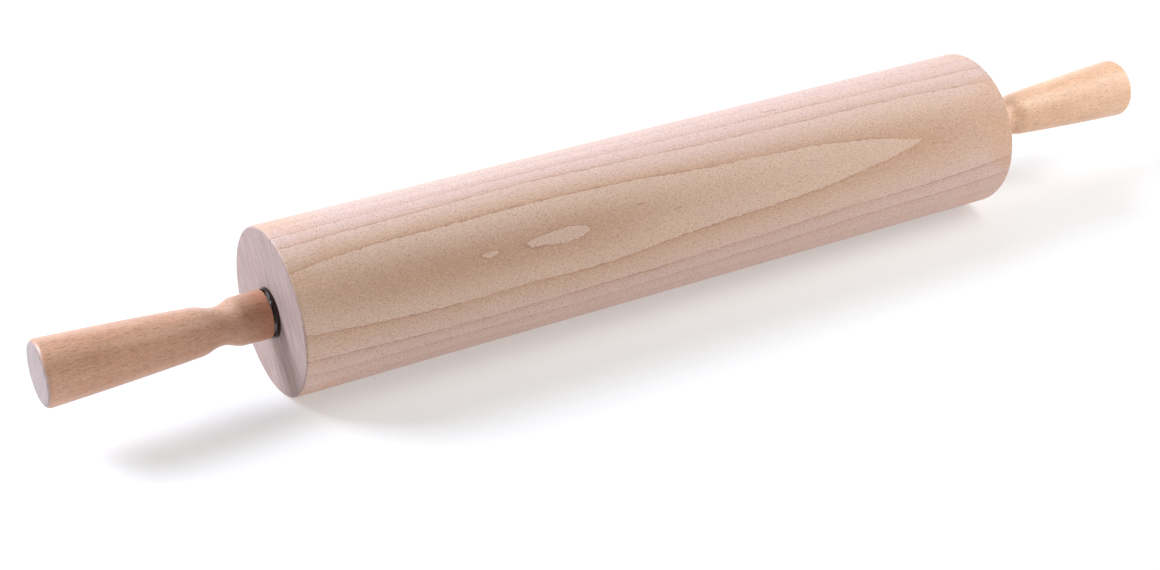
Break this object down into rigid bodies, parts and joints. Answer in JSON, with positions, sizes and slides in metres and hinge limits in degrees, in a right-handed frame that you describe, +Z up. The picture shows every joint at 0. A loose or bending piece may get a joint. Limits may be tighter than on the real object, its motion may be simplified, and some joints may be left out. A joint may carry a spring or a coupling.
{
  "type": "rolling pin",
  "caption": "Straight wooden rolling pin whose barrel spins on ball bearings round a steel axle rod, with turned waisted handles at both ends.",
  "frame": {"origin": "on the worktop, under the middle of the barrel", "axes": "+X along the pin towards its right handle, +Z up, +Y away from the picture's camera side"},
  "size_m": [0.6148, 0.08, 0.08],
  "materials": {
    "barrel_wood": "pale steamed beech, sanded smooth, unvarnished, straight grain with short dark flecks",
    "handle_wood": "turned beech, warmer and darker than the barrel, lightly waxed",
    "cup_enamel": "pressed steel in gloss black enamel, with a rolled lip",
    "rod_steel": "drawn steel bar",
    "bearing_steel": "ground and polished bearing steel",
    "zinc_steel": "zinc-plated steel",
    "cage_nylon": "natural nylon",
    "insert_brass": "turned brass"
  },
  "bodies": {
    "barrel": {"barrel": "barrel_wood", "left_bearing_cup": "cup_enamel", "left_outer_race": "bearing_steel", "left_dust_shield": "zinc_steel", "right_bearing_cup": "cup_enamel", "right_outer_race": "bearing_steel", "right_dust_shield": "zinc_steel"},
    "axle": {"axle_rod": "rod_steel", "left_inner_race": "bearing_steel", "left_spacer_bush": "zinc_steel", "left_lock_nut": "zinc_steel", "left_handle_insert": "insert_brass", "left_handle": "handle_wood", "right_inner_race": "bearing_steel", "right_spacer_bush": "zinc_steel", "right_lock_nut": "zinc_steel", "right_handle_insert": "insert_brass", "right_handle": "handle_wood"},
    "left_cage": {"left_ball_cage": "cage_nylon", "left_bearing_balls": "bearing_steel"},
    "right_cage": {"right_ball_cage": "cage_nylon", "right_bearing_balls": "bearing_steel"}
  },
  "joints": [
    {"name": "axle_spin", "type": "hinge", "parent": "barrel", "child": "axle", "pos_m": [0, 0, 0.04], "axis": [1, 0, 0], "continuous": true},
    {"name": "left_cage_spin", "type": "hinge", "parent": "barrel", "child": "left_cage", "pos_m": [-0.1939, 0, 0.04], "axis": [1, 0, 0], "continuous": true},
    {"name": "right_cage_spin", "type": "hinge", "parent": "barrel", "child": "right_cage", "pos_m": [0.1939, 0, 0.04], "axis": [1, 0, 0], "continuous": true}
  ],
  "couplings": [
    {"joint": "left_cage_spin", "follows": "axle_spin", "ratio": 0.36667},
    {"joint": "right_cage_spin", "follows": "axle_spin", "ratio": 0.36667}
  ]
}
